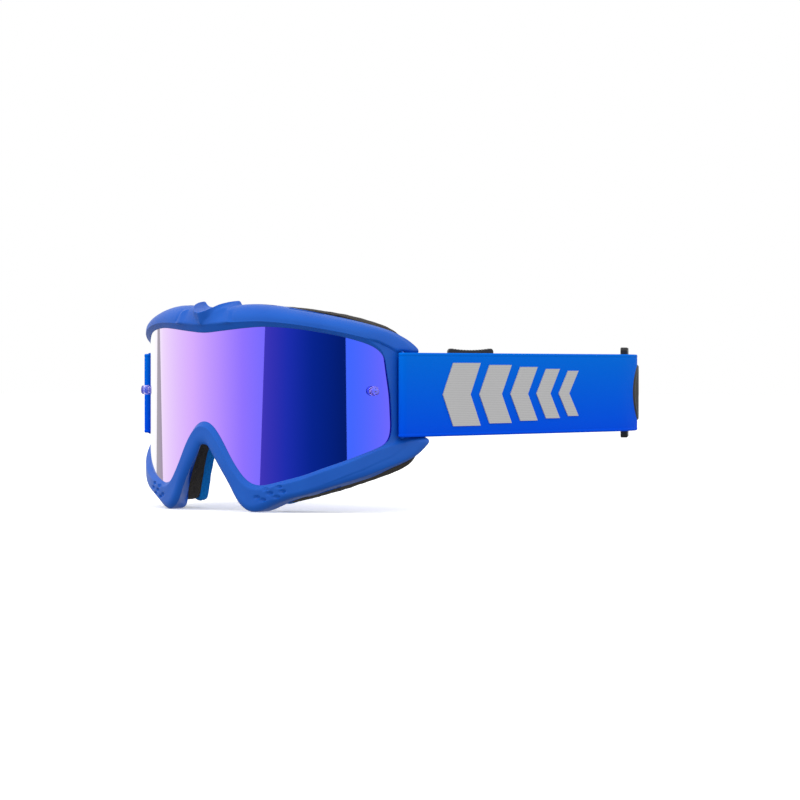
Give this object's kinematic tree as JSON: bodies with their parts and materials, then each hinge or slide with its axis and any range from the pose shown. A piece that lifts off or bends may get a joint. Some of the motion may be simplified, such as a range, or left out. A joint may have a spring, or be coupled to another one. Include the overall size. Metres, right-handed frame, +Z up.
{
  "type": "motorcycle goggles",
  "caption": "Full-frame motocross goggles with a cylindrical mirror lens, layered face foam and an elastic strap with a sliding adjuster on each side.",
  "frame": {"origin": "under the middle of the whole loop, level with the lowest point of the frame", "axes": "+X towards the wearer's left, +Y from the face of the goggles back to the strap, +Z up"},
  "size_m": [0.1852, 0.312, 0.1054],
  "materials": {
    "frame_blue": "satin soft moulded plastic",
    "lens_mirror": "mirror coated, violet to blue",
    "post_clear": "glossy",
    "foam_black": "open-cell foam",
    "foam_blue": "fleece-faced foam",
    "vent_foam": "open-cell foam",
    "bar_steel": "plain",
    "strap_blue": "woven elastic",
    "adjuster_black": "moulded, fine texture",
    "patch_rubber": "ribbed",
    "print_grey": "matt raised print"
  },
  "bodies": {
    "goggles": {"frame": "frame_blue", "lens": "lens_mirror", "tearoff_post_left": "post_clear", "tearoff_post_right": "post_clear", "foam_base": "foam_black", "foam_face": "foam_blue", "vent_foam_top": "vent_foam", "vent_foam_bottom": "vent_foam", "strap_bar_left": "bar_steel", "strap_bar_right": "bar_steel", "strap_left": "strap_blue", "strap_right": "strap_blue", "strap_rear": "strap_blue", "return_leg_left": "strap_blue", "return_leg_right": "strap_blue", "patch_left": "patch_rubber", "patch_right": "patch_rubber", "strap_print_left": "print_grey", "strap_print_right": "print_grey"},
    "adjuster_left": {"adjuster_left": "adjuster_black", "sewn_loop_left": "strap_blue"},
    "adjuster_right": {"adjuster_right": "adjuster_black", "sewn_loop_right": "strap_blue"}
  },
  "joints": [
    {"name": "adjuster_left_slide", "type": "hinge", "parent": "goggles", "child": "adjuster_left", "pos_m": [0, 0.0795, 0.0581], "axis": [0, 0, 1], "range_deg": [-17, 40], "deforming": ["return_leg_left"]},
    {"name": "adjuster_right_slide", "type": "hinge", "parent": "goggles", "child": "adjuster_right", "pos_m": [0, 0.0795, 0.0581], "axis": [0, 0, -1], "range_deg": [-17, 40], "deforming": ["return_leg_right"]}
  ]
}
